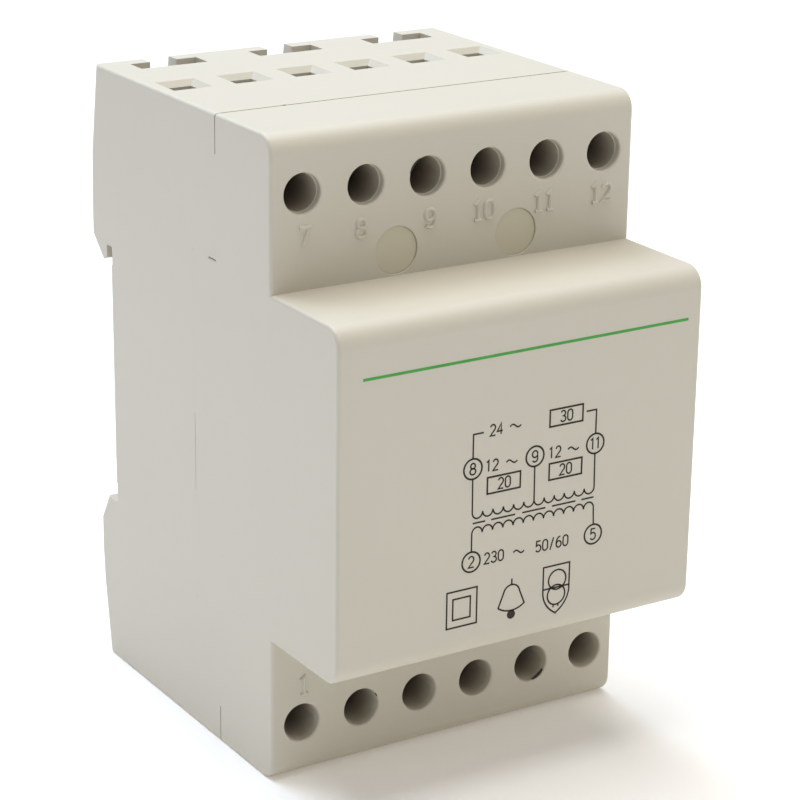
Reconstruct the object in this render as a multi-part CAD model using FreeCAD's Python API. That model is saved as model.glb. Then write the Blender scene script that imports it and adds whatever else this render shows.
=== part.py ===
# Doorbell transformer that clips on a 35 mm rail, three modules wide.
# X runs to the right, the front looks along -Y, and Z is up. The origin is the middle of
# the face that sits on the rail, so y is negative in front of the rail. Lengths are in mm.
# The height is a chain of sizes from the nose out to the ends, so it is not stated by itself.

import FreeCAD, Part
from FreeCAD import Vector
import math
import os

os.makedirs("parts", exist_ok=True)

# Housing on the grid of the rail
module_width = 17.5
modules = 3
ways_per_module = 2
nose_height = 45.0
seat_to_shoulder = 43.2
nose_rise = 15.8
wall = 1.6
nose_round = 2.7
shoulder_round = 2.5
side_round = 0.45

# Seam between the rear base and the front cover; on the sides it steps back
seat_to_seam = 29.5
seat_to_side_seam = 23.4
side_seam_beyond_nose = 0.7
seam_gap = 0.12

# Rail seat and fixed hook at the back
rail_height = 35.0
rail_thickness = 1.0
rail_play = 0.35
rail_edge_play = 0.4
hook_grip = 1.8
hook_reach = 5.7
hook_knee = 1.0
hook_tip = 0.95
hook_tip_drop = 0.4
hook_shoulder = 3.0
top_back_reach = 3.5
upper_back_reach = 5.4
upper_back_drop = 12.05
seat_land_relief = 0.2
seat_land_margin = 2.1

# Lower block of the back, which holds the sliding latch
foot_gap = 0.7
foot_lip_reach = 2.8
foot_reach = 5.0
foot_chamfer = 3.7
foot_flat = 4.8
foot_waist_reach = 4.7
foot_waist_drop = 4.3
bottom_back_reach = 3.05

# Wire funnels in the two ends
wire_centre = 13.1
funnel_width = 5.5
funnel_depth = 5.4
funnel_slope = 0.75

# Slots in the two ends that take clip-on lugs
lug_slot_width = 9.6
lug_slot_front = 2.1
lug_slot_back = 1.2
lug_mouth_width = 3.85
lug_slot_deep = 6.0

# Screwdriver wells in the shoulder
well_diameter = 5.2
well_mouth_bevel = 0.35
well_step = 0.2
well_step_depth = 1.0
well_lip = 1.0
well_lip_overlap = 0.4
well_tube_gap = 0.15

# Inside of the rear base
base_floor = 2.2
end_floor = 4.0
partition = 1.25
cross_wall = 1.2
pocket_skin = 1.6
pad_thickness = 2.0
pad_play = 0.1

# Cover screws, their bosses and the blanking plugs over them
boss_diameter = 5.4
cover_boss_wall = 0.9
cover_boss_floor = 1.6
screw_core = 2.9
screw_play = 0.02
screw_head_diameter = 5.4
screw_head_height = 2.4
screw_head_room = 0.2
screw_bite = 10.0
cross_slot_width = 0.8
cross_slot_length = 3.2
cross_slot_depth = 1.3
plug_diameter = 6.05
plug_thickness = 1.8
plug_play = 0.1
plug_sink = 0.3
plug_bevel = 0.2
plug_nose_gap = 0.05

# Screw terminals: a screw that only turns, and a cage that it draws to the front
used_top_ways = {8: 1, 9: 2, 11: 4}
used_bottom_ways = {2: 1, 5: 4}
wire_room = 3.8
tag_thickness = 0.9
tag_side_play = 0.2
cage_wall = 1.1
cage_thread_wall = 1.8
cage_length = 6.0
cage_side_play = 0.25
cage_corner = 0.7
cage_travel = 3.3
cage_start_gap = 0.4
cage_end_gap = 1.0
cage_boss_gap = 3.025
terminal_screw_diameter = 3.0
thread_play = 0.05
terminal_head_diameter = 4.6
terminal_head_height = 2.3
driver_slot_width = 0.8
driver_slot_depth = 1.1
tip_gap = 0.05
head_gap = 0.2

# Contact tags from the terminals to the coil former
tag_end_over = 0.8
tag_end_gap = 1.95
tag_stem_play = 0.175
tag_bend = 0.8
tag_jog_gap = 1.75
tag_rear = 9.0
tag_seat_depth = 4.0

# Laminated core and coil
core_side_gap = 0.65
core_end_gap = 0.9
coil_rear_gap = 3.2
coil_front_gap = 3.8
coil_window_spare = 0.4
former_wall = 1.0
former_play = 0.15
former_flange = 1.0
former_barrier = 1.2
flange_play = 0.3
flange_corner = 2.5
winding_edge = 0.9
winding_corner = 5.0
tape_thickness = 0.25
rail_block_rise = 5.0
rail_block_inset = 0.5
rail_block_wall = 0.575
cutout_width = 11.0
cutout_height = 6.0
cutout_thickness = 2.6
cutout_corner = 1.0
rib_thickness = 1.6
rib_width = 6.0
rib_play = 0.1
rib_block_gap = 0.8

# End wires of the windings, drawn six-sided
lead_diameter = 0.8
lead_grip = 3.0
lead_play = 0.05
lead_bend = 0.9

# Sliding rail latch and its spring, whose wire is drawn six-sided
latch_side_wall = 2.58
latch_thickness = 2.3
latch_play = 0.12
latch_floor = 0.5
latch_grip = 1.6
latch_tip_bevel = 0.9
latch_rim = 1.3
latch_raise = 1.3
latch_raise_root = 0.2
latch_end_gap = 0.55
latch_foot = 3.6
latch_eye_width = 6.0
latch_eye_height = 1.4
latch_eye_web = 3.2
latch_raised_top_gap = 4.0
spring_outside = 3.6
spring_wire = 0.5
spring_turns = 5.0
spring_side_play = 0.4
peg_thickness = 1.6
peg_root = 0.5
peg_stop_gap = 0.2

# A cut runs past the face that it opens by this much
past = 1.0

# Grid of modules and ways
half_width = modules * module_width / 2
pitch = module_width / ways_per_module
ways = modules * ways_per_module
way_x = [(i - (ways - 1) / 2) * pitch for i in range(ways)]
inner_ways = way_x[1:-1]
partition_x = [(a + b) / 2 for a, b in zip(way_x, way_x[1:])]
module_x = [(i - (modules - 1) / 2) * module_width for i in range(modules)]
boss_x = [-pitch, pitch]
way_clear = pitch - partition
inside_x = half_width - wall

# Heights, from the nose out to the end: plug, boss, cage, tag and end wall follow each other
half_nose = nose_height / 2
plug_bore = plug_diameter / 2 + plug_play
boss_z = half_nose + plug_nose_gap + plug_bore
well_z = boss_z + boss_diameter / 2 + cage_boss_gap + cage_length / 2
half_height = well_z + cage_length / 2 + tag_end_over + tag_end_gap + wall
inside_z = half_height - wall
cross_in = boss_z - cross_wall / 2
cross_out = boss_z + cross_wall / 2

# Depths, from the rail forward
shoulder_y = -seat_to_shoulder
front_y = shoulder_y - nose_rise
base_front = -seat_to_seam + seam_gap / 2
cover_back = -seat_to_seam - seam_gap / 2
wall_front = base_front + seam_gap
plug_back = shoulder_y + plug_sink + plug_thickness
screw_seat = cover_back - cover_boss_floor

# Terminal places along the screw, from the wire forward
cage_rear = -wire_centre + wire_room / 2 + cage_wall
tag_back_face = -wire_centre - wire_room / 2
tag_front_face = tag_back_face - tag_thickness
tag_y = (tag_front_face + tag_back_face) / 2
cage_front = tag_front_face - cage_start_gap - cage_thread_wall
screw_tip = tag_front_face - tip_gap
screw_shank = cage_start_gap + cage_thread_wall + cage_travel + cage_end_gap - tip_gap
head_back = screw_tip - screw_shank
head_front = head_back - terminal_head_height
well_end = head_front - head_gap
cage_width = way_clear - 2 * cage_side_play
cage_inside = cage_width - 2 * cage_wall
tag_stem_width = pitch - boss_diameter - 2 * tag_stem_play

# Core and coil; the lamination is the largest that the housing takes, six units wide and
# five high, with a centre leg of two units
core_unit = min((inside_x - core_side_gap) / 3, (half_nose - wall - core_end_gap) * 2 / 5)
half_core = 3 * core_unit
half_core_z = 2.5 * core_unit
window_z = 1.5 * core_unit
coil_overhang = core_unit - coil_window_spare
core_back = -base_floor - coil_rear_gap - coil_overhang
core_front = front_y + wall + coil_front_gap + coil_overhang
core_stack = core_back - core_front
core_y = (core_back + core_front) / 2
flange_x = 2 * core_unit - flange_play
flange_y = core_stack / 2 + coil_overhang
flange_z = window_z - flange_play
winding_x = flange_x - winding_edge
winding_y = flange_y - winding_edge
winding_z = flange_z - former_flange
block_x = inner_ways[-1] + tag_stem_width / 2 + rail_block_wall
block_z = flange_z + rail_block_rise
lead_y = core_y + winding_y + tape_thickness + lead_play + lead_diameter / 2
rib_z = half_core_z - core_unit / 2
rib_x = block_x + rib_block_gap + rib_width / 2

# Back of the housing: rail slot, hook, foot and latch channel
half_rail = rail_height / 2
slot_top = half_rail + rail_edge_play
slot_back = rail_thickness + rail_play
hook_end = slot_top - hook_grip
land_z = half_rail - seat_land_margin
foot_top = -half_rail - foot_gap
waist_z = foot_top - foot_chamfer - foot_flat
side_z = half_nose + side_seam_beyond_nose
latch_width = 2 * (module_width - lug_slot_width / 2 - latch_side_wall - latch_play)
latch_front = latch_floor + latch_play
latch_back = latch_front + latch_thickness
latch_low = -half_height + latch_end_gap
eye_z = latch_low + latch_foot / 2
window_top = foot_top - latch_raised_top_gap - latch_rim
window_low = eye_z + latch_eye_height / 2 + latch_eye_web
peg_top = window_low + peg_stop_gap + peg_thickness
spring_length = window_top - peg_top
spring_y = latch_front + spring_outside / 2


def box(x0, x1, y0, y1, z0, z1):
    """A box between two corners, given in any order."""
    low = Vector(min(x0, x1), min(y0, y1), min(z0, z1))
    return Part.makeBox(abs(x1 - x0), abs(y1 - y0), abs(z1 - z0), low)


def prism(outline, half):
    """An outline of (y, z) points pulled along X to both sides of the middle."""
    corners = [Vector(-half, y, z) for y, z in outline]
    face = Part.Face(Part.makePolygon(corners + corners[:1]))
    return face.extrude(Vector(2 * half, 0, 0))


def round_y(x, z, radius, y0, y1):
    """A round bar along Y."""
    return Part.makeCylinder(radius, abs(y1 - y0), Vector(x, min(y0, y1), z), Vector(0, 1, 0))


def edges_on_x(shape, y, z):
    """The edges that run along X through the point (y, z)."""
    def there(edge):
        return all(abs(v.Y - y) < 1e-4 and abs(v.Z - z) < 1e-4 for v in edge.Vertexes)
    return [e for e in shape.Edges if there(e)]


def edges_on_z(shape):
    """The upright edges."""
    def level(edge):
        return abs(edge.Vertexes[0].Z - edge.Vertexes[-1].Z) < 1e-4
    return [e for e in shape.Edges if not level(e)]


def side_edges(shape, wanted):
    """The edges of the two side faces whose middle (y, z) is wanted."""
    found = []
    for edge in shape.Edges:
        if all(abs(abs(v.X) - half_width) < 1e-4 for v in edge.Vertexes):
            middle = edge.valueAt((edge.FirstParameter + edge.LastParameter) / 2)
            if abs(abs(middle.x) - half_width) < 1e-4 and wanted(middle.y, middle.z):
                found.append(edge)
    return found


def rounded_path(points, radius):
    """Straight runs joined by tangent arcs."""
    corners = [Vector(*p) for p in points]
    edges = []
    start = corners[0]
    for before, here, after in zip(corners, corners[1:], corners[2:]):
        back = (before - here).normalize()
        on = (after - here).normalize()
        half_turn = (math.pi - back.getAngle(on)) / 2
        reach = radius * math.tan(half_turn)
        middle = (back + on).normalize() * (radius / math.cos(half_turn) - radius)
        edges.append(Part.LineSegment(start, here + back * reach).toShape())
        edges.append(Part.Arc(here + back * reach, here + middle, here + on * reach).toShape())
        start = here + on * reach
    edges.append(Part.LineSegment(start, corners[-1]).toShape())
    return Part.Wire(edges)


def hexagon(centre, radius, u, v):
    """A six-sided loop in the plane of the directions u and v."""
    turns = [math.radians(60 * i) for i in range(7)]
    return Part.makePolygon([centre + u * radius * math.cos(a) + v * radius * math.sin(a) for a in turns])


def save(name, shape):
    """One file per piece."""
    shape.exportStep(f"parts/{name}.step")


# Outlines of the two shells, as (y, z)
base_outline = [
    (base_front, half_height),
    (top_back_reach, half_height),
    (upper_back_reach, half_height - upper_back_drop),
    (hook_reach, slot_top + hook_knee + hook_shoulder),
    (hook_reach, slot_top + hook_knee),
    (slot_back + hook_tip, hook_end - hook_tip_drop),
    (slot_back, hook_end),
    (slot_back, slot_top),
    (-seat_land_relief, slot_top),
    (-seat_land_relief, land_z),
    (0, land_z),
    (0, -land_z),
    (-seat_land_relief, -land_z),
    (-seat_land_relief, foot_top),
    (foot_lip_reach, foot_top),
    (foot_reach, foot_top - foot_chamfer),
    (foot_reach, waist_z),
    (foot_waist_reach, waist_z - foot_waist_drop),
    (bottom_back_reach, -half_height),
    (base_front, -half_height),
    (base_front, -side_z - seam_gap / 2),
    (-seat_to_side_seam + seam_gap / 2, -side_z - seam_gap / 2),
    (-seat_to_side_seam + seam_gap / 2, side_z + seam_gap / 2),
    (base_front, side_z + seam_gap / 2),
]

cover_outline = [
    (cover_back, half_height),
    (shoulder_y, half_height),
    (shoulder_y, half_nose),
    (front_y, half_nose),
    (front_y, -half_nose),
    (shoulder_y, -half_nose),
    (shoulder_y, -half_height),
    (cover_back, -half_height),
    (cover_back, -side_z + seam_gap / 2),
    (-seat_to_side_seam - seam_gap / 2, -side_z + seam_gap / 2),
    (-seat_to_side_seam - seam_gap / 2, side_z - seam_gap / 2),
    (cover_back, side_z - seam_gap / 2),
]


def funnel(x, end):
    """The flared opening that leads a wire into one way, for the top (1) or bottom (-1)."""
    def rectangle(grow, z):
        wx = funnel_width / 2 + grow
        wy = funnel_depth / 2 + grow
        loop = [(-wx, -wy), (wx, -wy), (wx, wy), (-wx, wy), (-wx, -wy)]
        return Part.makePolygon([Vector(x + a, -wire_centre + b, z) for a, b in loop])

    mouth = rectangle(0, end * half_height)
    throat = rectangle(-funnel_slope, end * (half_height - funnel_slope))
    flare = Part.makeLoft([mouth, throat], True, True)
    wx = funnel_width / 2 - funnel_slope
    wy = funnel_depth / 2 - funnel_slope
    neck = box(x - wx, x + wx, -wire_centre - wy, -wire_centre + wy,
               end * (inside_z - past), end * (half_height - funnel_slope))
    return flare.fuse(neck)


def lug_slot(x, end):
    """One T-shaped slot, open to the end face and to the back."""
    z0 = end * (half_height - lug_slot_deep)
    z1 = end * (half_height + past)
    half = lug_slot_width / 2
    mouth = lug_mouth_width / 2
    pocket = box(x - half, x + half, -lug_slot_front, lug_slot_back, z0, z1)
    return pocket.fuse(box(x - mouth, x + mouth, lug_slot_back, hook_reach + past, z0, z1))


def moulding_pocket(x, end):
    """A pocket in the back of one way that keeps the walls even, clear of the lug slots."""
    half = min(way_clear / 2, inside_x - abs(x))
    return box(x - half, x + half, -end_floor + pocket_skin, hook_reach + past,
               end * (slot_top + hook_shoulder), end * (half_height - lug_slot_deep - wall))


def core_rib(x, y0, y1, z):
    """A rib that holds the yoke of the core from one side."""
    return box(x - rib_width / 2, x + rib_width / 2, y0, y1, z - rib_thickness / 2, z + rib_thickness / 2)


def latch_channel():
    """The guide of the latch: a wide groove under two rims, open at the foot."""
    wide = latch_width / 2 + latch_play
    narrow = wide - latch_rim
    low = -half_height - past
    groove = box(-wide, wide, latch_floor, latch_back + latch_play, low, foot_top + past)
    return groove.fuse(box(-narrow, narrow, latch_floor, hook_reach + past, low, foot_top + past))


def make_rear_base():
    """The rear shell with hooks, funnels, lug slots, chambers, bosses and the latch channel."""
    shell = prism(base_outline, half_width)
    rims = side_edges(shell, lambda y, z: abs(z) > slot_top + foot_gap and y > base_front + seam_gap)
    shell = shell.makeFillet(side_round, rims)
    low = base_front - past
    hollow = prism([
        (low, inside_z), (-end_floor, inside_z), (-end_floor, half_core_z),
        (-base_floor, half_core_z), (-base_floor, -half_core_z),
        (-end_floor, -half_core_z), (-end_floor, -inside_z), (low, -inside_z),
    ], inside_x)
    shell = shell.cut(hollow)

    walls = []
    cuts = [latch_channel()]
    stem = tag_stem_width / 2 + tag_stem_play / 2
    slit_end = -tag_rear + tag_thickness / 2 + tag_stem_play
    for end in (1, -1):
        walls.append(box(-inside_x, inside_x, -end_floor, wall_front, end * cross_in, end * cross_out))
        for x in partition_x:
            walls.append(box(x - partition / 2, x + partition / 2, -end_floor, wall_front,
                             end * cross_in, end * inside_z))
        for x in inner_ways:
            pad_z = end * well_z
            walls.append(box(x - pad_thickness / 2, x + pad_thickness / 2, -end_floor,
                             cage_rear + pad_play, pad_z - pad_thickness, pad_z + pad_thickness))
            cuts.append(box(x - stem, x + stem, wall_front - past, slit_end,
                            end * (cross_in - past), end * (cross_out + tag_stem_play)))
        for x in boss_x:
            walls.append(round_y(x, end * boss_z, boss_diameter / 2, -end_floor, base_front))
            cuts.append(round_y(x, end * boss_z, screw_core / 2 + screw_play,
                                base_front - past, base_front + screw_bite + past))
        for x in (-rib_x, rib_x):
            walls.append(core_rib(x, -base_floor, core_back + rib_play, end * rib_z))
        for x in way_x:
            cuts.append(funnel(x, end))
            if end == 1 or abs(x) > (latch_width + pitch) / 2:
                cuts.append(moulding_pocket(x, end))
        for x in module_x:
            if end == 1 or abs(x) > latch_width / 2:
                cuts.append(lug_slot(x, end))

    peg_x = (spring_outside + spring_side_play / 2) / 2
    peg = box(-peg_x, peg_x, latch_floor - peg_root, latch_back + latch_play,
              peg_top, peg_top - peg_thickness)
    return shell.fuse(walls).cut(cuts).fuse(peg).removeSplitter()


def well_cutter(x, z, lip):
    """Screwdriver well: bevelled mouth, a small step, a long bore and, if asked, a last lip."""
    mouth = well_diameter / 2
    bore = mouth - well_step
    outline = [
        (0, shoulder_y - past), (mouth + well_mouth_bevel, shoulder_y - past),
        (mouth + well_mouth_bevel, shoulder_y), (mouth, shoulder_y + well_mouth_bevel),
        (mouth, shoulder_y + well_step_depth), (bore, shoulder_y + well_step_depth),
    ]
    if lip:
        neck = terminal_head_diameter / 2 - well_lip_overlap
        outline += [(bore, well_end - well_lip), (neck, well_end - well_lip),
                    (neck, well_end + past), (0, well_end + past)]
    else:
        outline += [(bore, cover_back + past), (0, cover_back + past)]
    corners = [Vector(r, y, 0) for r, y in outline]
    tool = Part.Face(Part.makePolygon(corners + corners[:1])).revolve(Vector(0, 0, 0), Vector(0, 1, 0), 360)
    tool.translate(Vector(x, 0, z))
    return tool


def make_front_cover():
    """The front shell: shoulders with wells and plug seats, and the nose between them."""
    shell = prism(cover_outline, half_width)
    for sign in (1, -1):
        shell = shell.makeFillet(shoulder_round, edges_on_x(shell, shoulder_y, sign * half_height))
        shell = shell.makeFillet(nose_round, edges_on_x(shell, front_y, sign * half_nose))
    rims = side_edges(shell, lambda y, z: y < cover_back - seam_gap)
    shell = shell.makeFillet(side_round, rims)
    hollow = prism([
        (0, inside_z), (shoulder_y + wall, inside_z), (shoulder_y + wall, half_nose - wall),
        (front_y + wall, half_nose - wall), (front_y + wall, -half_nose + wall),
        (shoulder_y + wall, -half_nose + wall), (shoulder_y + wall, -inside_z), (0, -inside_z),
    ], inside_x)
    shell = shell.cut(hollow)

    tube = way_clear / 2 - well_tube_gap
    head_bore = screw_head_diameter / 2 + screw_head_room
    root = wall / 2
    solids = []
    cuts = []
    for end in (1, -1):
        for x in way_x:
            lip = x in inner_ways
            solids.append(round_y(x, end * well_z, min(tube, half_width - abs(x)),
                                  shoulder_y + root, well_end if lip else cover_back))
            cuts.append(well_cutter(x, end * well_z, lip))
        for x in boss_x:
            z = end * boss_z
            solids.append(round_y(x, z, plug_bore + cover_boss_wall, shoulder_y + root, cover_back))
            cuts.append(round_y(x, z, plug_bore, shoulder_y - past, plug_back))
            cuts.append(round_y(x, z, head_bore, plug_back - root, screw_seat))
            cuts.append(round_y(x, z, screw_core / 2 + screw_play, screw_seat - past, cover_back + past))
        for x in (-rib_x, rib_x):
            solids.append(core_rib(x, front_y + root, core_front - rib_play, end * rib_z))
    return shell.fuse(solids).cut(cuts).removeSplitter()


def make_plug(x, z):
    """A thin disc with a bevelled rim, sunk a little below the shoulder."""
    y0 = shoulder_y + plug_sink
    disc = round_y(x, z, plug_diameter / 2, y0, plug_back)
    rim = [e for e in disc.Edges if e.isClosed() and abs(e.Vertexes[0].Y - y0) < 1e-4]
    return disc.makeChamfer(plug_bevel, rim)


def make_cover_screw(x, z):
    """A self-tapping screw with a cheese head, a cross recess and a blunt end, its thread left plain."""
    top = screw_seat - screw_head_height
    body = round_y(x, z, screw_head_diameter / 2, top, screw_seat)
    body = body.fuse(round_y(x, z, screw_core / 2, screw_seat, base_front + screw_bite))
    long = cross_slot_length / 2
    wide = cross_slot_width / 2
    y0 = top - past
    y1 = top + cross_slot_depth
    cross = box(x - long, x + long, y0, y1, z - wide, z + wide)
    cross = cross.fuse(box(x - wide, x + wide, y0, y1, z - long, z + long))
    return body.cut(cross).removeSplitter()


def make_terminal_screw(x, z):
    """The terminal screw: slotted head, plain shank for the thread, flat tip on the tag."""
    head = round_y(x, z, terminal_head_diameter / 2, head_front, head_back)
    shank = round_y(x, z, terminal_screw_diameter / 2, head_back, screw_tip)
    slot = box(x - terminal_head_diameter, x + terminal_head_diameter, head_front - past,
               head_front + driver_slot_depth, z - driver_slot_width / 2, z + driver_slot_width / 2)
    return head.fuse(shank).cut(slot).removeSplitter()


def make_clamp_cage(x, z):
    """A steel strip folded to a square frame, with the thread in its front wall."""
    half = cage_width / 2
    z0 = z - cage_length / 2
    z1 = z + cage_length / 2
    frame = box(x - half, x + half, cage_front, cage_rear, z0, z1)
    frame = frame.makeFillet(cage_corner, edges_on_z(frame))
    inside = cage_inside / 2
    room = box(x - inside, x + inside, cage_front + cage_thread_wall, cage_rear - cage_wall,
               z0 - past, z1 + past)
    thread = round_y(x, z, terminal_screw_diameter / 2 + thread_play, cage_front - past,
                     cage_front + cage_thread_wall + past)
    return frame.cut(room).cut(thread)


def make_contact_tag(x, end):
    """A brass strip that runs from the clamp back and down to its slot in the coil former."""
    jog = end * (well_z - cage_length / 2 - tag_jog_gap - tag_thickness / 2)
    foot = end * (block_z - tag_seat_depth)
    path = rounded_path([(x, tag_y, end * well_z), (x, tag_y, jog), (x, -tag_rear, jog),
                         (x, -tag_rear, foot)], tag_bend)
    w = tag_stem_width / 2
    t = tag_thickness / 2
    loop = [(-w, -t), (w, -t), (w, t), (-w, t), (-w, -t)]
    section = Part.makePolygon([Vector(x + a, tag_y + b, end * well_z) for a, b in loop])
    strip = path.makePipeShell([section], True, False)
    half = cage_inside / 2 - tag_side_play
    reach = cage_length / 2 + tag_end_over
    blade = box(x - half, x + half, tag_front_face, tag_back_face,
                end * (well_z - reach), end * (well_z + reach))
    return strip.fuse(blade).removeSplitter()


def upright_block(hx, hy, corner, z0, z1):
    """A block about the coil's axis with its upright edges rounded."""
    block = box(-hx, hx, core_y - hy, core_y + hy, z0, z1)
    return block.makeFillet(corner, edges_on_z(block))


def make_coil_former():
    """The moulded bobbin: a tube round the centre leg, two flanges, a barrier, two tag rails."""
    hx = core_unit + former_play
    hy = core_stack / 2 + former_play
    tube = box(-hx - former_wall, hx + former_wall, core_y - hy - former_wall,
               core_y + hy + former_wall, -flange_z, flange_z)
    plates = [upright_block(flange_x, flange_y, flange_corner, -former_barrier / 2, former_barrier / 2)]
    slits = [box(-hx, hx, core_y - hy, core_y + hy, -flange_z - past, flange_z + past)]
    stem = tag_stem_width / 2 + tag_stem_play / 2
    t = tag_thickness / 2 + tag_stem_play / 2
    lead_slit = lead_diameter / 2 + lead_play
    for end, used in ((1, used_top_ways), (-1, used_bottom_ways)):
        plates.append(upright_block(flange_x, flange_y, flange_corner, end * winding_z, end * flange_z))
        plates.append(box(-block_x, block_x, core_back + rail_block_inset, lead_y - lead_slit,
                          end * (flange_z - former_flange / 2), end * block_z))
        for way in used.values():
            x = way_x[way]
            slits.append(box(x - stem, x + stem, -tag_rear - t, -tag_rear + t,
                             end * (block_z - tag_seat_depth), end * (block_z + past)))
            slits.append(box(x - lead_slit, x + lead_slit, lead_y - lead_slit, core_y + flange_y + past,
                             end * (winding_z - past), end * (flange_z + past)))
    return tube.fuse(plates).cut(slits).removeSplitter()


def make_winding(z0, z1):
    """A wound coil as one solid, snug on the former between two flanges."""
    hx = core_unit + former_play + former_wall
    hy = core_stack / 2 + former_play + former_wall
    outer = upright_block(winding_x, winding_y, winding_corner, z0, z1)
    return outer.cut(box(-hx, hx, core_y - hy, core_y + hy, z0 - past, z1 + past))


def make_tape(z0, z1):
    """The insulating wrap over a winding."""
    skin = upright_block(winding_x + tape_thickness, winding_y + tape_thickness,
                         winding_corner + tape_thickness, z0, z1)
    return skin.cut(upright_block(winding_x, winding_y, winding_corner, z0 - past, z1 + past))


def make_core_e():
    """The stack of E laminations: a yoke on top and three legs down."""
    u = core_unit
    top = half_core_z
    foot = top - 4 * u
    yoke = top - u
    outline = [(-3 * u, top), (3 * u, top), (3 * u, foot), (2 * u, foot), (2 * u, yoke), (u, yoke),
               (u, foot), (-u, foot), (-u, yoke), (-2 * u, yoke), (-2 * u, foot), (-3 * u, foot)]
    corners = [Vector(x, core_front, z) for x, z in outline]
    return Part.Face(Part.makePolygon(corners + corners[:1])).extrude(Vector(0, core_stack, 0))


def make_core_i():
    """The stack of I laminations that closes the legs."""
    return box(-half_core, half_core, core_front, core_back, -half_core_z, -half_core_z + core_unit)


def make_thermal_cutout(z0, z1):
    """The fuse that lies against the front of the primary winding."""
    middle = (z0 + z1) / 2
    back = core_y - winding_y - tape_thickness
    body = box(-cutout_width / 2, cutout_width / 2, back, back - cutout_thickness,
               middle - cutout_height / 2, middle + cutout_height / 2)
    return body.makeFillet(cutout_corner, edges_on_z(body))


def make_lead(x, end):
    """A winding's end wire: up the back of the coil, through the flange and over to its tag."""
    points = [(x, lead_y, end * (winding_z - lead_grip)),
              (x, lead_y, end * (block_z + lead_diameter)),
              (x, -tag_rear + tag_thickness / 2, end * (block_z + lead_diameter))]
    section = hexagon(Vector(*points[0]), lead_diameter / 2, Vector(1, 0, 0), Vector(0, 1, 0))
    return rounded_path(points, lead_bend).makePipeShell([section], True, False)


def make_rail_latch():
    """The slide that grips the lower edge of the rail, with its pull eye and spring window."""
    half = latch_width / 2
    tip = -half_rail + latch_grip
    root = foot_top - past
    plate = box(-half, half, latch_front, latch_back, latch_low, foot_top)
    nose = prism([(slot_back, root), (slot_back, tip - latch_tip_bevel),
                  (slot_back + latch_tip_bevel / 2, tip), (latch_back - latch_tip_bevel / 2, tip),
                  (latch_back, tip - latch_tip_bevel), (latch_back, root)], half)
    high = foot_top - latch_raised_top_gap
    low = latch_low + latch_foot
    inner = latch_back - latch_raise_root
    outer = latch_back + latch_raise
    raised = prism([(inner, high), (outer, high - latch_raise), (outer, low + latch_raise), (inner, low)],
                   half - latch_rim - latch_play)
    eye = box(-latch_eye_width / 2, latch_eye_width / 2, latch_front - past, outer + past,
              eye_z - latch_eye_height / 2, eye_z + latch_eye_height / 2)
    room = (spring_outside + spring_side_play) / 2
    window = box(-room, room, latch_front - past, outer + past, window_low, window_top)
    return plate.fuse([nose, raised]).cut([eye, window]).removeSplitter()


def make_latch_spring():
    """A compression spring between the peg of the base and the window of the latch.

    Half a wire stays free at each end, and it is fitted and pressed on by the window's edge.
    """
    mean = (spring_outside - spring_wire) / 2
    rise = spring_length - 2 * spring_wire
    helix = Part.makeHelix(rise / spring_turns, rise, mean)
    section = hexagon(Vector(mean, 0, 0), spring_wire / 2, Vector(1, 0, 0), Vector(0, 0, 1))
    coil = Part.Wire(helix.Edges).makePipeShell([section], True, True)
    coil.translate(Vector(0, spring_y, peg_top + spring_wire))
    return coil


save("rear_base", make_rear_base())
save("front_cover", make_front_cover())
plug_places = [(x, end * boss_z) for end in (1, -1) for x in boss_x]
for number, (x, z) in enumerate(plug_places, start=1):
    save(f"blanking_plug_{number}", make_plug(x, z))
save("cover_screws", Part.makeCompound([make_cover_screw(x, z) for x, z in plug_places]))

winding_bands = {"primary": (-winding_z, -former_barrier / 2), "secondary": (former_barrier / 2, winding_z)}
for name, end, used in (("primary", -1, used_bottom_ways), ("secondary", 1, used_top_ways)):
    for number, way in used.items():
        x = way_x[way]
        save(f"terminal_screw_{number}", make_terminal_screw(x, end * well_z))
        save(f"clamp_cage_{number}", make_clamp_cage(x, end * well_z))
        save(f"contact_tag_{number}", make_contact_tag(x, end))
    save(f"{name}_leads", Part.makeCompound([make_lead(way_x[way], end) for way in used.values()]))
    save(f"{name}_winding", make_winding(*winding_bands[name]))
    save(f"{name}_tape", make_tape(*winding_bands[name]))

save("core_e_stack", make_core_e())
save("core_i_stack", make_core_i())
save("coil_former", make_coil_former())
save("thermal_cutout", make_thermal_cutout(*winding_bands["primary"]))
save("rail_latch", make_rail_latch())
save("latch_spring", make_latch_spring())
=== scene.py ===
# A doorbell transformer for a 35 mm rail, three modules wide, dressed round its fixed frame.
# The sections follow the bench: rear shell and latch first, then the coil and core, the
# terminals, the front shell with its screws and plugs, the printing, and the studio last.
# Lengths are in metres: +X right, the front looks along -Y, +Z up, origin on the rail seat.

import math
import bpy
import numpy as np
from mathutils import Matrix, Vector


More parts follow.
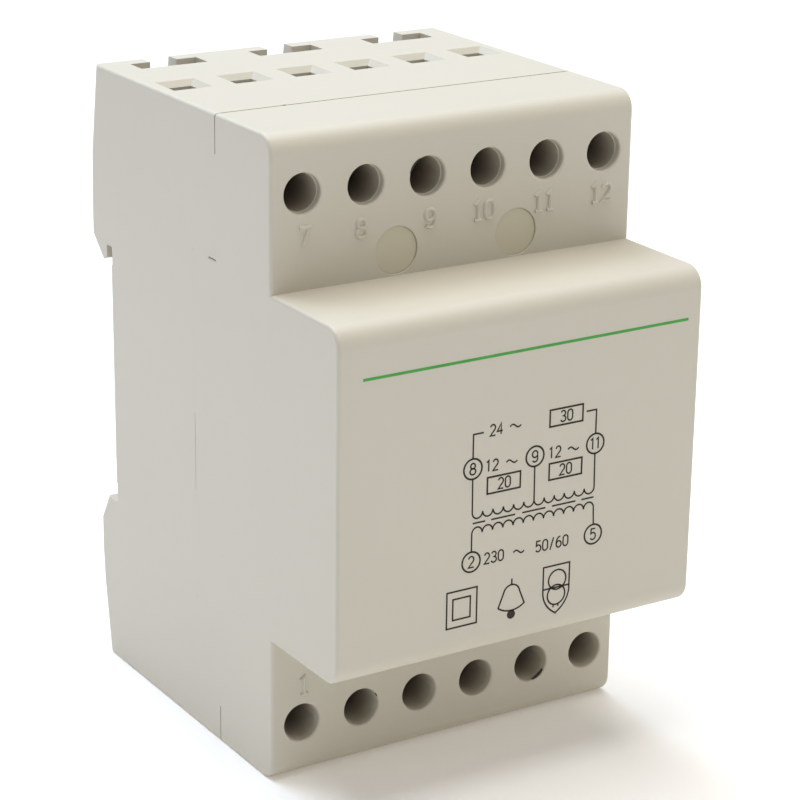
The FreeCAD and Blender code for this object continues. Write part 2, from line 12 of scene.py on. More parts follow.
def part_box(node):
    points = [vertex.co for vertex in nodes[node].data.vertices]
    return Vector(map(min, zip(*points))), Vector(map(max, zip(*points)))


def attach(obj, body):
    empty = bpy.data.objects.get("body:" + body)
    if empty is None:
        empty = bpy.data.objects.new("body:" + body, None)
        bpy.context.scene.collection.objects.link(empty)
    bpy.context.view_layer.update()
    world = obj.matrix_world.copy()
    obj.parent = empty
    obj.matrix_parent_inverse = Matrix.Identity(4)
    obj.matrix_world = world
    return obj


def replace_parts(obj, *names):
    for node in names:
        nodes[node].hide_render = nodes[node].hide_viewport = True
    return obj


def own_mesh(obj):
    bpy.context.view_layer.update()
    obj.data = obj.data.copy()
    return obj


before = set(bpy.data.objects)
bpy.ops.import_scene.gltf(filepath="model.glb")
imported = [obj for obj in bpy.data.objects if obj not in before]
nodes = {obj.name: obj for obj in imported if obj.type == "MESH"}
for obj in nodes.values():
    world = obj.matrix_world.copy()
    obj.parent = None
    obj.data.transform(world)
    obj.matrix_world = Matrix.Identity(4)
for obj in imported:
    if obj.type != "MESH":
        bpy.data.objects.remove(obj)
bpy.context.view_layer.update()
mm = 0.001


# Rear base. One shell injection moulded in a light grey flame-retardant polycarbonate blend
# from a spark-eroded tool, so its faces are satin with a fine grain. It hooks on the rail.

def linear(code):
    """An sRGB hex code in linear light: each channel c is ((c + 0.055) / 1.055) to the power 2.4."""
    c = np.array([int(code[i:i + 2], 16) for i in (1, 3, 5)]) / 255
    return (*np.where(c < 0.04045, c / 12.92, ((c + 0.055) / 1.055) ** 2.4), 1.0)


def add(tree, kind, settings, links):
    """Adds one node: small-letter settings are its own, the rest are sockets, and links feed sockets."""
    node = tree.nodes.new("ShaderNode" + kind)
    for key, value in settings.items():
        if isinstance(key, str) and key[0].islower():
            setattr(node, key, value)
        else:
            node.inputs[key].default_value = value
    for key, (source, socket) in links.items():
        tree.links.new(source.outputs[socket], node.inputs[key])
    return node


def start(name):
    """A new material with an empty tree and its texture coordinates."""
    material = bpy.data.materials.new(name)
    material.use_nodes = True
    material.node_tree.nodes.clear()
    return material, material.node_tree, add(material.node_tree, "TexCoord", {}, {})


def end(tree, shader):
    """Links the finished shader to the output."""
    add(tree, "OutputMaterial", {}, {"Surface": (shader, 0)})


def moulded(name, light, dark, roughness, grain, depth, shade=None):
    """Moulded thermoplastic: a slow cloud between two near tones, and a fine eroded grain.

    The cloud has one patch in about 26 mm, and the grain one pit in the given size. A real pit
    is about 0.05 mm, too fine to show, so the shells' are drawn about four times as coarse. A
    shade function, if given, paints shade into the tone by the place on the moulding.
    """
    material, tree, at = start(name)
    patch = 26 * mm
    cloud = add(tree, "TexNoise", {"Scale": 1 / patch, "Detail": 2.0}, {"Vector": (at, "Object")})
    tone = add(tree, "Mix", {"data_type": "RGBA", 6: linear(light), 7: linear(dark)}, {0: (cloud, 0)})
    if shade:
        tone = shade(tree, at, tone)
    pits = add(tree, "TexNoise", {"Scale": 1 / grain, "Detail": 3.0}, {"Vector": (at, "Object")})
    gloss = add(tree, "MapRange", {"To Min": roughness - 0.05, "To Max": roughness + 0.07},
                {"Value": (pits, 0)})
    bump = add(tree, "Bump", {"Strength": 0.35, "Distance": depth}, {"Height": (pits, 0)})
    shader = add(tree, "BsdfPrincipled", {"IOR": 1.5},
                 {"Base Color": (tone, 2), "Roughness": (gloss, 0), "Normal": (bump, 0)})
    end(tree, shader)
    return material


def dress(names, material):
    """Gives carried-over nodes their finish."""
    for name in names:
        slots = nodes[name].data.materials
        slots.clear()
        slots.append(material)


base_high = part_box("rear_base")[1]
seam_y, seam_gap, seam_open = -29.5 * mm, 0.12 * mm, 5.0 * mm
hair = 0.003 * mm


def into_seam(tree, at, tone):
    """Paints shade on the two walls of the seam near the top and the bottom of the sides, where the narrow
    gap is in shade.

    That is where Y is within half the gap of the seam, and a hair more, and where the height,
    up or down, is less than seam_open from the end of the base.
    """
    place = add(tree, "SeparateXYZ", {}, {0: (at, "Object")})
    limit = seam_gap / 2 + hair
    wall = add(tree, "Math", {"operation": "COMPARE", 1: seam_y, 2: limit}, {0: (place, 1)})
    height = add(tree, "Math", {"operation": "ABSOLUTE"}, {0: (place, 2)})
    near = add(tree, "Math", {"operation": "GREATER_THAN", 1: base_high.z - seam_open}, {0: (height, 0)})
    amount = add(tree, "Math", {"operation": "MULTIPLY"}, {0: (wall, 0), 1: (near, 0)})
    # Painted shade: the walls of the seam are mixed towards this dark tone.
    return add(tree, "Mix", {"data_type": "RGBA", 7: linear("#5A5142")}, {0: (amount, 0), 6: (tone, 2)})


shell_light, shell_dark, shell_roughness = "#CCC6B6", "#C9C3B3", 0.46
shell_grain, shell_pit = 0.22 * mm, 0.02 * mm
# The base's colour carries painted shade on the walls of the seam.
base_plastic = moulded("satin_grey_polycarbonate_base", shell_light, shell_dark, shell_roughness,
                       shell_grain, shell_pit, into_seam)
dress(["rear_base"], base_plastic)


# Rail latch. A sliding catch moulded in grey acetal, smooth and a little waxy where it runs
# in its groove in the back of the base.

latch_plastic = moulded("smooth_grey_acetal", "#8C8C88", "#84847F", 0.36, 0.6 * mm, 0.01 * mm)
dress(["rail_latch"], latch_plastic)


# Latch spring. Hard-drawn spring wire, cold coiled with closed ends, which sits on the peg of
# the base and pushes the latch up. The real one shortens as the latch slides down; here it is drawn at one
# length.

def metal(name, light, dark, roughness, line_size, direction, depth):
    """Metal with fine lines left by drawing or rolling, one in the given size, across one direction."""
    material, tree, at = start(name)
    scale = [1 / line_size if d else 1 / (40 * line_size) for d in direction]
    squeeze = add(tree, "Mapping", {"Scale": scale}, {"Vector": (at, "Object")})
    lines = add(tree, "TexNoise", {"Scale": 1.0, "Detail": 3.0}, {"Vector": (squeeze, 0)})
    tone = add(tree, "Mix", {"data_type": "RGBA", 6: linear(light), 7: linear(dark)}, {0: (lines, 0)})
    gloss = add(tree, "MapRange", {"To Min": roughness - 0.08, "To Max": roughness + 0.1},
                {"Value": (lines, 0)})
    bump = add(tree, "Bump", {"Strength": 0.3, "Distance": depth}, {"Height": (lines, 0)})
    shader = add(tree, "BsdfPrincipled", {"Metallic": 1.0},
                 {"Base Color": (tone, 2), "Roughness": (gloss, 0), "Normal": (bump, 0)})
    end(tree, shader)
    return material


def quads(rows, columns, wrap_rows, wrap_columns):
    """The four corners of every cell of a grid of points, counted row by row."""
    i = np.arange(rows if wrap_rows else rows - 1)[:, None]
    j = np.arange(columns if wrap_columns else columns - 1)[None, :]
    i1, j1 = (i + 1) % rows, (j + 1) % columns
    cells = [i * columns + j, i1 * columns + j, i1 * columns + j1, i * columns + j1]
    return np.stack([np.broadcast_to(c, (i.shape[0], j.shape[1])) for c in cells], -1).reshape(-1, 4)


def closed(rows):
    """Rings of points joined in order, with a fan to the middle of the first and the last ring."""
    count, around = rows.shape[:2]
    points = np.concatenate([rows.reshape(-1, 3), rows[[0, -1]].mean(1)])
    j = np.arange(around)
    k = (j + 1) % around
    tail = (count - 1) * around
    front = np.stack([j, k, np.full(around, tail + around)], -1)
    back = np.stack([tail + k, tail + j, np.full(around, tail + around + 1)], -1)
    return points, [quads(count, around, False, True), front, back]


def tube(path, radius, sides=16):
    """A round wire: circles square to the path, each turned as little as possible from the last."""
    path = np.asarray(path, float)
    along = np.gradient(path, axis=0)
    along /= np.linalg.norm(along, axis=1)[:, None]
    side = np.cross(along, along[0] + np.array([0.013, 0.17, 0.31]))
    side /= np.linalg.norm(side, axis=1)[:, None]
    other = np.cross(side, along)
    a = np.linspace(0, 2 * np.pi, sides, endpoint=False)[None, :, None]
    return closed(path[:, None] + radius * (np.cos(a) * side[:, None] + np.sin(a) * other[:, None]))


def piece(name, parts, material, body):
    """One mesh from (points, groups of faces) pairs, smooth but for edges of over 35 degrees."""
    points, faces, first = [], [], 0
    for shape, groups in parts:
        points.append(np.asarray(shape, float).reshape(-1, 3))
        for group in groups:
            faces += (group + first).tolist()
        first += len(points[-1])
    mesh = bpy.data.meshes.new(name)
    mesh.from_pydata(np.concatenate(points).tolist(), [], faces)
    mesh.polygons.foreach_set("use_smooth", np.full(len(mesh.polygons), True))
    mesh.set_sharp_from_angle(angle=math.radians(35))
    mesh.materials.append(material)
    mesh.update()
    made = bpy.data.objects.new(name, mesh)
    bpy.context.scene.collection.objects.link(made)
    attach(made, body)
    return made


spring_steel = metal("drawn_spring_steel", "#B9BABC", "#8E9092", 0.3, 0.05 * mm, (0, 0, 1), 0.004 * mm)
spring_low, spring_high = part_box("latch_spring")
spring_wire = 0.5 * mm
coil_radius = (spring_high.x - spring_low.x - spring_wire) / 2
coil_y = (spring_low.y + spring_high.y) / 2
peg_z, window_z = -33.7 * mm, -23.5 * mm
coil_turns = 7.0
closed_turn, closed_rise = 0.75 / coil_turns, 1.3 * spring_wire
coil_length = window_z - peg_z
t = np.linspace(0, 1, 421)
rise = np.interp(t, [0, closed_turn, 1 - closed_turn, 1],
                 [spring_wire / 2, closed_rise, coil_length - closed_rise, coil_length - spring_wire / 2])
angle = 2 * np.pi * coil_turns * t
coil = np.stack([coil_radius * np.cos(angle), coil_y + coil_radius * np.sin(angle), peg_z + rise], -1)
latch_coil = piece("latch_coil", [tube(coil, spring_wire / 2, 12)], spring_steel, "housing")
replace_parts(latch_coil, "latch_spring")
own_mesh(latch_coil)


# Coil former. Black glass-filled nylon, moulded in one piece, with two chambers and two rails
# that hold the contact tags.

dress(["coil_former"], moulded("black_glass_filled_nylon", "#2B2A28", "#201F1E", 0.55, 0.5 * mm, 0.03 * mm))


# Windings. Enamelled copper wire laid in turns between the flanges; the secondary's wire is
# thick, the primary's far finer and drawn about three times as coarse. Their colour has
# painted shade between the turns and a painted highlight on each crest. The end wires go up
# the back of the coil and over to the tags.

def wound(name, light, dark, wire_size):
    """Turns on a former: a rounded wave along Z, one for each wire, with painted shade in the grooves and a
    painted highlight on the crests.
    """
    material, tree, at = start(name)
    place = add(tree, "SeparateXYZ", {}, {0: (at, "Object")})
    turns_up = add(tree, "Math", {"operation": "MULTIPLY", 1: np.pi / wire_size}, {0: (place, 2)})
    wave = add(tree, "Math", {"operation": "SINE"}, {0: (turns_up, 0)})
    crest = add(tree, "Math", {"operation": "ABSOLUTE"}, {0: (wave, 0)})
    # Painted shade and highlight: the grooves between turns take the dark tone and the crests the light one.
    tone = add(tree, "Mix", {"data_type": "RGBA", 6: linear(dark), 7: linear(light)}, {0: (crest, 0)})
    bump = add(tree, "Bump", {"Strength": 0.8, "Distance": wire_size / 3}, {"Height": (crest, 0)})
    shader = add(tree, "BsdfPrincipled",
                 {"Metallic": 0.9, "Roughness": 0.3, "Coat Weight": 0.5, "Coat Roughness": 0.2},
                 {"Base Color": (tone, 2), "Normal": (bump, 0)})
    end(tree, shader)
    return material


def bent(before, corner, after, radius):
    """A path with one square bend: centre of the arc, less the way on by cosine and the way back by sine."""
    before, corner, after = (np.array(p, float) for p in (before, corner, after))
    back = (before - corner) / np.linalg.norm(before - corner)
    on = (after - corner) / np.linalg.norm(after - corner)
    a = np.linspace(0, np.pi / 2, 9)[:, None]
    turn = corner + radius * (back + on - on * np.cos(a) - back * np.sin(a))
    return np.concatenate([[before, (before + turn[0]) / 2], turn, [(turn[-1] + after) / 2, after]])


copper = wound("enamelled_copper_wire", "#C77B45", "#6E3216", 0.8 * mm)
dress(["secondary_winding"], copper)
dress(["primary_winding"], wound("fine_enamelled_copper_wire", "#BE6A38", "#64290F", 0.4 * mm))
wire_copper = metal("enamelled_end_wire", "#C4733D", "#A9572A", 0.28, 0.1 * mm, (1, 1, 0), 0.002 * mm)
lead_radius = 0.4 * mm
lead_bend = 0.9 * mm
for name, end_sign, used in (("primary", -1, (2, 5)), ("secondary", 1, (8, 9, 11))):
    low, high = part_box(f"{name}_leads")
    root, top = sorted((abs(low.z), abs(high.z)))
    lead_y, lead_z = high.y - lead_radius, end_sign * (top - lead_radius)
    wires = []
    for n in used:
        tag_low, tag_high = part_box(f"contact_tag_{n}")
        x = (tag_low.x + tag_high.x) / 2
        path = bent((x, lead_y, end_sign * root), (x, lead_y, lead_z), (x, low.y, lead_z), lead_bend)
        wires.append(tube(path, lead_radius))
    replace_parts(piece(f"{name}_end_wires", wires, wire_copper, "housing"), f"{name}_leads")


# Insulating tape. Yellow polyester film with a clear adhesive, wrapped round each winding, so
# it is glossy and slightly creased.

def film(name, light, dark):
    """Thin film: a colour that drifts in patches of 5 mm, and long upright creases."""
    material, tree, at = start(name)
    patch, crease_width, crease_length = 5 * mm, 2 * mm, 30 * mm
    drift = add(tree, "TexNoise", {"Scale": 1 / patch, "Detail": 1.0}, {"Vector": (at, "Object")})
    tone = add(tree, "Mix", {"data_type": "RGBA", 6: linear(light), 7: linear(dark)}, {0: (drift, 0)})
    stretch = add(tree, "Mapping", {"Scale": (1 / crease_width, 1 / crease_width, 1 / crease_length)},
                  {"Vector": (at, "Object")})
    crease = add(tree, "TexNoise", {"Scale": 1.0, "Detail": 2.0}, {"Vector": (stretch, 0)})
    bump = add(tree, "Bump", {"Strength": 0.5, "Distance": 0.05 * mm}, {"Height": (crease, 0)})
    shader = add(tree, "BsdfPrincipled", {"Roughness": 0.18, "IOR": 1.6, "Coat Weight": 0.3},
                 {"Base Color": (tone, 2), "Normal": (bump, 0)})
    end(tree, shader)
    return material


dress(["primary_tape", "secondary_tape"], film("polyester_tape", "#DDB83A", "#CFA424"))


# Thermal cutout. A small fuse in a black case sealed with epoxy, strapped to the primary.

dress(["thermal_cutout"], moulded("epoxy_sealed_case", "#2A2A2C", "#1F1F21", 0.3, 0.8 * mm, 0.02 * mm))


# Laminated core. Punched silicon steel sheets half a millimetre thick, stacked front to back
# as E and I shapes, with a thin brown varnish on the cut edges.

sheet_thickness, groove = 0.5 * mm, 0.05 * mm


def laminated(name, light, dark):
    """Varnished sheet edges: stains in patches of 4 mm, one sheet thick."""
    material, tree, at = start(name)
    patch = 4 * mm
    drawn = add(tree, "Mapping", {"Scale": (1 / patch, 1 / sheet_thickness, 1 / patch)},
                {"Vector": (at, "Object")})
    stain = add(tree, "TexNoise", {"Scale": 1.0, "Detail": 3.0}, {"Vector": (drawn, 0)})
    tone = add(tree, "Mix", {"data_type": "RGBA", 6: linear(dark), 7: linear(light)}, {0: (stain, 0)})
    bump = add(tree, "Bump", {"Strength": 0.4, "Distance": 0.02 * mm}, {"Height": (stain, 0)})
    shader = add(tree, "BsdfPrincipled", {"Metallic": 0.7, "Roughness": 0.48},
                 {"Base Color": (tone, 2), "Normal": (bump, 0)})
    end(tree, shader)
    return material


def stacked(outline, layers):
    """An anticlockwise (x, z) outline repeated at each (y, inset) layer, and closed at both ends.

    Each corner moves in by the inset times the sum of the inward normals of its two sides,
    over one plus their dot product, so that both sides move in by the inset.
    """
    outline = np.asarray(outline, float)
    ahead = np.roll(outline, -1, 0) - outline
    inward = np.stack([-ahead[:, 1], ahead[:, 0]], -1) / np.hypot(*ahead.T)[:, None]
    behind = np.roll(inward, 1, 0)
    move = (inward + behind) / (1 + (inward * behind).sum(1))[:, None]
    y, inset = np.array(layers).T
    corners = outline + inset[:, None, None] * move
    rows = np.stack([corners[..., 0], np.broadcast_to(y[:, None], corners.shape[:2]), corners[..., 1]], -1)
    count, around = rows.shape[:2]
    front = np.arange(around)[None, :]
    return rows, [quads(count, around, False, True), front, front[:, ::-1] + (count - 1) * around]


def sheets(node, outline):
    """A stack of sheets between the front and the back of a node, each with its two edges broken."""
    low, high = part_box(node)
    count = round((high.y - low.y) / sheet_thickness)
    sheet = (high.y - low.y) / count
    faces_at = low.y + sheet * np.arange(count)[:, None] + np.array([0, groove, sheet - groove])
    layers = np.stack([faces_at, np.broadcast_to([groove, 0, 0], faces_at.shape)], -1).reshape(-1, 2)
    return stacked(outline, np.concatenate([layers, [[high.y, groove]]]))


core_low, core_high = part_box("core_e_stack")
i_low, i_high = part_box("core_i_stack")
u = (core_high.x - core_low.x) / 6
e_top, e_foot, e_yoke = core_high.z, core_low.z, core_high.z - u
e_outline = [(-3 * u, e_top), (-3 * u, e_foot), (-2 * u, e_foot), (-2 * u, e_yoke),
             (-u, e_yoke), (-u, e_foot), (u, e_foot), (u, e_yoke),
             (2 * u, e_yoke), (2 * u, e_foot), (3 * u, e_foot), (3 * u, e_top)]
i_outline = [(i_low.x, i_low.z), (i_high.x, i_low.z), (i_high.x, i_high.z), (i_low.x, i_high.z)]
core_steel = laminated("varnished_silicon_steel", "#8A8178", "#3B342D")
for name, node, outline in (("e_sheets", "core_e_stack", e_outline), ("i_sheets", "core_i_stack", i_outline)):
    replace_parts(piece(name, [sheets(node, outline)], core_steel, "housing"), node)


# Contact tags. Brass strip, stamped, folded and tin plated, which carries the current from a
# clamp down to the coil former.

used_ways = [2, 5, 8, 9, 11]
tinned_brass = metal("tinned_brass_strip", "#D9CFA6", "#C7B984", 0.34, 0.1 * mm, (1, 0, 0), 0.005 * mm)
dress([f"contact_tag_{n}" for n in used_ways], tinned_brass)


# Clamp cages. Mild steel strip folded to a square frame, zinc plated with a clear blue
# passivation, so they are bright with a cold tint.

zinc_plate = metal("blue_passivated_zinc", "#C9CDD2", "#AEB3B9", 0.32, 0.12 * mm, (1, 0, 0), 0.006 * mm)
dress([f"clamp_cage_{n}" for n in used_ways], zinc_plate)


# Terminal screws. Cold headed steel with a slot, a rolled metric thread of half a millimetre
# and a flat tip, plated as the cages are. Each turns in its place.

def rings(centre, profile, sides=48):
    """Circles about the Y axis through the centre (x, z), one for each (radius, y) of a profile."""
    a = np.linspace(0, 2 * np.pi, sides, endpoint=False)
    r, y = np.array(profile, float).T[:, :, None]
    return np.stack(np.broadcast_arrays(centre[0] + r * np.cos(a), y, centre[1] + r * np.sin(a)), -1)


def thread(centre, front, rear, crest, depth, lead, sides=48):
    """Rings of a screw thread: the radius is the crest less the depth times a flattened triangle wave.

    The wave's phase is the way along Y over the lead, less the angle over a full turn. At both
    ends the radius runs out to the root over half a lead.
    """
    y = np.arange(front, rear, lead / 8)[:, None]
    a = np.linspace(0, 2 * np.pi, sides, endpoint=False)
    phase = (y - front) / lead - a / (2 * np.pi)
    wave = np.clip(1.25 * np.abs(2 * (phase - np.floor(phase)) - 1) - 0.125, 0, 1)
    run_out = np.clip(np.minimum(y - front, rear - y) / (lead / 2), 0, 1)
    r = crest - depth * (1 - wave * run_out)
    return np.stack(np.broadcast_arrays(centre[0] + r * np.cos(a), y, centre[1] + r * np.sin(a)), -1)


head_height, slot_depth, slot_width = 2.3 * mm, 1.1 * mm, 0.8 * mm
shank_radius, broken_edge = 1.5 * mm, 0.15 * mm
thread_depth, thread_lead = 0.3 * mm, 0.5 * mm
for n in used_ways:
    low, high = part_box(f"terminal_screw_{n}")
    centre = ((low.x + high.x) / 2, (low.z + high.z) / 2)
    head_radius = (high.x - low.x) / 2
    head_back = low.y + head_height
    slot_floor = low.y + slot_depth
    body = [(head_radius, slot_floor), (head_radius, head_back - broken_edge),
            (head_radius - broken_edge, head_back), (shank_radius * 0.85, head_back)]
    shank = thread(centre, head_back, high.y, shank_radius, thread_depth, thread_lead)
    rows = np.concatenate([rings(centre, body), shank])
    lip = math.asin(slot_width / 2 / head_radius)
    a = np.linspace(lip, np.pi - lip, 25)
    half = np.stack([head_radius * np.cos(a), head_radius * np.sin(a)], -1)
    layers = [(low.y, broken_edge), (low.y + broken_edge, 0), (slot_floor, 0)]
    parts = [closed(rows)] + [stacked(np.array(centre) + sign * half, layers) for sign in (1, -1)]
    screw = piece(f"slotted_screw_{n}", parts, zinc_plate, f"screw_{n}")
    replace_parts(screw, f"terminal_screw_{n}")


# Front cover. The second shell, of the same plastic and grain as the base. Its colour has
# painted shade in the wells, darker with depth, as a pale bore is in shade under a soft
# light, and on the walls of the seam as the base has.

cover_low, cover_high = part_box("front_cover")
front_y = cover_low.y
plug_low, plug_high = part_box("blanking_plug_1")
plug_recess = 0.3 * mm
shoulder_y = plug_low.y - plug_recess
pitch = (cover_high.x - cover_low.x) / 6
well_x = (np.arange(6) - 2.5) * pitch
well_z = (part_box("terminal_screw_8")[0].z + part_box("terminal_screw_8")[1].z) / 2
well_radius = 2.6 * mm
shade_from, shade_to, shade_edge = 0.2 * mm, 8.0 * mm, 0.1 * mm


def into_wells(tree, at, tone):
    """Paints shade inside the wells: the tone goes down evenly from the mouth to a depth of 8 mm.

    The way across from a well's axis is half a pitch less a triangle wave that is zero midway
    between two wells. The way up is the height less that of the row. Their length is compared
    with the radius of the bore.
    """
    place = add(tree, "SeparateXYZ", {}, {0: (at, "Object")})
    wave = add(tree, "Math", {"operation": "PINGPONG", 1: pitch / 2}, {0: (place, 0)})
    across = add(tree, "Math", {"operation": "SUBTRACT", 0: pitch / 2}, {1: (wave, 0)})
    height = add(tree, "Math", {"operation": "ABSOLUTE"}, {0: (place, 2)})
    up = add(tree, "Math", {"operation": "SUBTRACT", 1: well_z}, {0: (height, 0)})
    both = add(tree, "CombineXYZ", {}, {0: (across, 0), 1: (up, 0)})
    away = add(tree, "VectorMath", {"operation": "LENGTH"}, {0: (both, 0)})
    inside = add(tree, "MapRange", {"From Min": well_radius, "From Max": well_radius + shade_edge,
                                    "To Min": 1.0, "To Max": 0.0}, {"Value": (away, "Value")})
    shade_depth_ramp = add(tree, "MapRange", {"From Min": shoulder_y + shade_from, "From Max": shoulder_y + shade_to},
               {"Value": (place, 1)})
    amount = add(tree, "Math", {"operation": "MULTIPLY"}, {0: (inside, 0), 1: (shade_depth_ramp, 0)})
    # Painted shade: the walls of the wells are mixed towards this dark tone with depth.
    painted_deeper_tone = add(tree, "Mix", {"data_type": "RGBA", 7: linear("#796A61")}, {0: (amount, 0), 6: (tone, 2)})
    return into_seam(tree, at, painted_deeper_tone)


# The cover's colour carries painted shade in the wells and on the walls of the seam.
cover_plastic = moulded("satin_grey_polycarbonate_cover", shell_light, shell_dark, shell_roughness,
                        shell_grain, shell_pit, into_wells)
dress(["front_cover"], cover_plastic)


# Soft mouths of the screwdriver wells. The tool breaks each mouth with a small radius, and
# the first millimetre of the bore draws in. In the upper row a faint ring ends that step.

rim, bevel, step_depth = 0.28 * mm, 0.35 * mm, 1.0 * mm
buried, proud = 0.03 * mm, 0.004 * mm
mouth_radius, bore = well_radius - 0.1 * mm, well_radius - 0.2 * mm
lip_radius, lip_end = bore - 0.01 * mm, step_depth + 0.06 * mm
arc_angle = np.linspace(0, np.pi / 2, 9)[::-1]
# Profiles as (radius, depth), from the face round the mouth inwards, and back through the plastic
rounding = [(mouth_radius + rim * (1 - math.cos(a)), rim * (1 - math.sin(a)) - proud) for a in arc_angle]
ring = [(mouth_radius - 0.01 * mm, step_depth - 0.16 * mm),
        (mouth_radius - 0.012 * mm, step_depth - 0.1 * mm), (bore + 0.03 * mm, step_depth - 0.03 * mm)]
behind = [(lip_radius, step_depth), (lip_radius, lip_end), (bore + buried, lip_end + 0.06 * mm),
          (well_radius + buried, step_depth + buried), (well_radius + buried, bevel + buried),
          (well_radius + bevel + buried, buried), (well_radius + bevel + buried, -proud)]
for side, sign, inner in (("upper", 1, ring), ("lower", -1, [])):
    mouth = [(radius, shoulder_y + depth) for radius, depth in rounding + inner + behind]
    loops = [rings((x, sign * well_z), mouth[::-1], 72) for x in well_x]
    faces = quads(len(mouth), 72, True, True)
    piece(f"{side}_well_mouths", [(loop, [faces]) for loop in loops], cover_plastic, "housing")


# Burrs on three of the mouths, dark crumbs that stand a little proud of the rim.
# Each is thick in its middle and runs along the mouth between two angles in degrees.

dark_crumb_plastic = moulded("dark_plastic_burr", "#3A332B", "#2C2721", 0.6, 0.2 * mm, 0.02 * mm)
swell = np.sin(np.linspace(0.5, 2.6, 9))[:, None, None]
burrs = []
for way, sign, first, last, burr_radius, burr_depth, half_thick in (
        (4, -1, -80, -32, 2.46 * mm, 0.22 * mm, 0.22 * mm), (1, -1, 22, 36, 2.54 * mm, 0.12 * mm, 0.09 * mm),
        (2, 1, 118, 166, 2.64 * mm, 0.0, 0.11 * mm)):
    a = np.radians(np.linspace(first, last, len(swell)))
    crumb = np.stack([well_x[way] + burr_radius * np.cos(a), np.full(len(swell), shoulder_y + burr_depth),
                      sign * well_z + burr_radius * np.sin(a)], -1)
    burrs.append(tube(crumb, half_thick * swell, 10))
piece("rim_burrs", burrs, dark_crumb_plastic, "housing")


# Terminal numbers on the shoulders. They are cut into the tool with a small cutter, so on the
# moulding they stand proud as low ridges with steep flanks.

def arc(cx, cz, rx, rz, a0, a1, n=18):
    """Points on an ellipse between two angles in degrees."""
    a = np.radians(np.linspace(a0, a1, n))
    return np.stack([cx + rx * np.cos(a), cz + rz * np.sin(a)], -1)


def joined(*runs):
    """Runs of points one after the other as one stroke."""
    return np.concatenate([np.asarray(r, float).reshape(-1, 2) for r in runs])


# Strokes of the digits in a cell one unit high and 0.6 wide
digit = {
    "0": [joined(arc(0.3, 0.7, 0.26, 0.3, 0, 180), arc(0.3, 0.3, 0.26, 0.3, 180, 360), [(0.56, 0.7)])],
    "1": [joined([(0.12, 0.84), (0.32, 1.0), (0.32, 0.0)])],
    "2": [joined(arc(0.3, 0.71, 0.25, 0.29, 165, -35), [(0.04, 0.0), (0.57, 0.0)])],
    "3": [joined(arc(0.29, 0.76, 0.23, 0.24, 160, -90), arc(0.29, 0.26, 0.27, 0.26, 90, -160))],
    "4": [joined([(0.42, 0.0), (0.42, 1.0), (0.02, 0.3), (0.58, 0.3)])],
    "5": [joined([(0.52, 1.0), (0.12, 1.0), (0.09, 0.56)], arc(0.29, 0.32, 0.27, 0.32, 125, -150))],
    "6": [joined(arc(0.42, 0.42, 0.38, 0.58, 85, 180), arc(0.3, 0.3, 0.26, 0.3, 180, 540, 30))],
    "7": [joined([(0.04, 1.0), (0.56, 1.0), (0.24, 0.0)])],
    "8": [arc(0.3, 0.76, 0.22, 0.24, 0, 360, 30), arc(0.3, 0.27, 0.27, 0.27, 0, 360, 34)],
    "9": [joined(arc(0.3, 0.7, 0.26, 0.3, 0, 360, 30), arc(0.3, 0.28, 0.26, 0.28, 0, -150))],
    "/": [joined([(0.1, -0.08), (0.46, 1.05)])],
}
digit["I"] = digit["1"] + [joined([(0.14, 0.0), (0.5, 0.0)])]  # a 1 with a foot, as on the shoulders


def written(text, left, low, height, width, step):
    """The strokes of a number: each digit's cell scaled to height and width, a step apart."""
    return [run * (width / 0.6, height) + (left + i * step, low)
            for i, sign in enumerate(text) for run in digit[sign]]


def on_front(depth):
    """Lays (across, out, up) on a face that looks along -Y at a depth."""
    return lambda across, out, up: np.stack([across, depth - out, up], -1)


def ridge(run, section, lay):
    """A section carried along a stroke on a flat face.

    The section is a loop of (across, out) pairs. Each point of the stroke carries it square to
    the mean of the two directions that meet there, widened by one over the cosine of half the turn.
    """
    run = run[np.r_[True, np.hypot(*np.diff(run, axis=0).T) > 1e-7]]
    endless = np.hypot(*(run[0] - run[-1])) < 1e-6
    if endless:
        run = run[:-1]
    ahead = np.roll(run, -1, 0) - run
    ahead /= np.hypot(*ahead.T)[:, None]
    behind = np.roll(ahead, 1, 0)
    if not endless:
        ahead[-1], behind[0] = behind[-1], ahead[0]
    mean = ahead + behind
    mean /= np.hypot(*mean.T)[:, None]
    widen = 1 / np.clip((mean * ahead).sum(1), 0.5, 1)
    across, out = np.array(section).T
    first = run[:, :1] - mean[:, 1:] * across * widen[:, None]
    second = run[:, 1:] + mean[:, :1] * across * widen[:, None]
    rows = lay(first, np.broadcast_to(out, first.shape), second)
    return (rows, [quads(*rows.shape[:2], True, True)]) if endless else closed(rows)


raised = [(a * mm, b * mm) for a, b in ((-0.28, -0.03), (-0.22, 0.12), (-0.12, 0.24), (0.0, 0.29),
                                        (0.12, 0.24), (0.22, 0.12), (0.28, -0.03))]
number_height, number_width, number_step = 2.3 * mm, 1.5 * mm, 1.75 * mm
number_shift = np.array([0.2, -0.65, 0.35, -0.6, -0.3, -0.3]) * mm
upper_low, first_low, other_low = 27.95 * mm, -30.4 * mm, -29.2 * mm
numbers = []
for n in range(1, 13):
    way = (n - 1) % 6
    text = str(n).replace("1", "I")
    low = upper_low if n > 6 else first_low if n == 1 else other_low
    left = well_x[way] + number_shift[way] - (number_width + (len(text) - 1) * number_step) / 2
    for run in written(text, left, low, number_height, number_width, number_step):
        numbers.append(ridge(run, raised, on_front(shoulder_y)))
piece("terminal_numbers", numbers, cover_plastic, "housing")
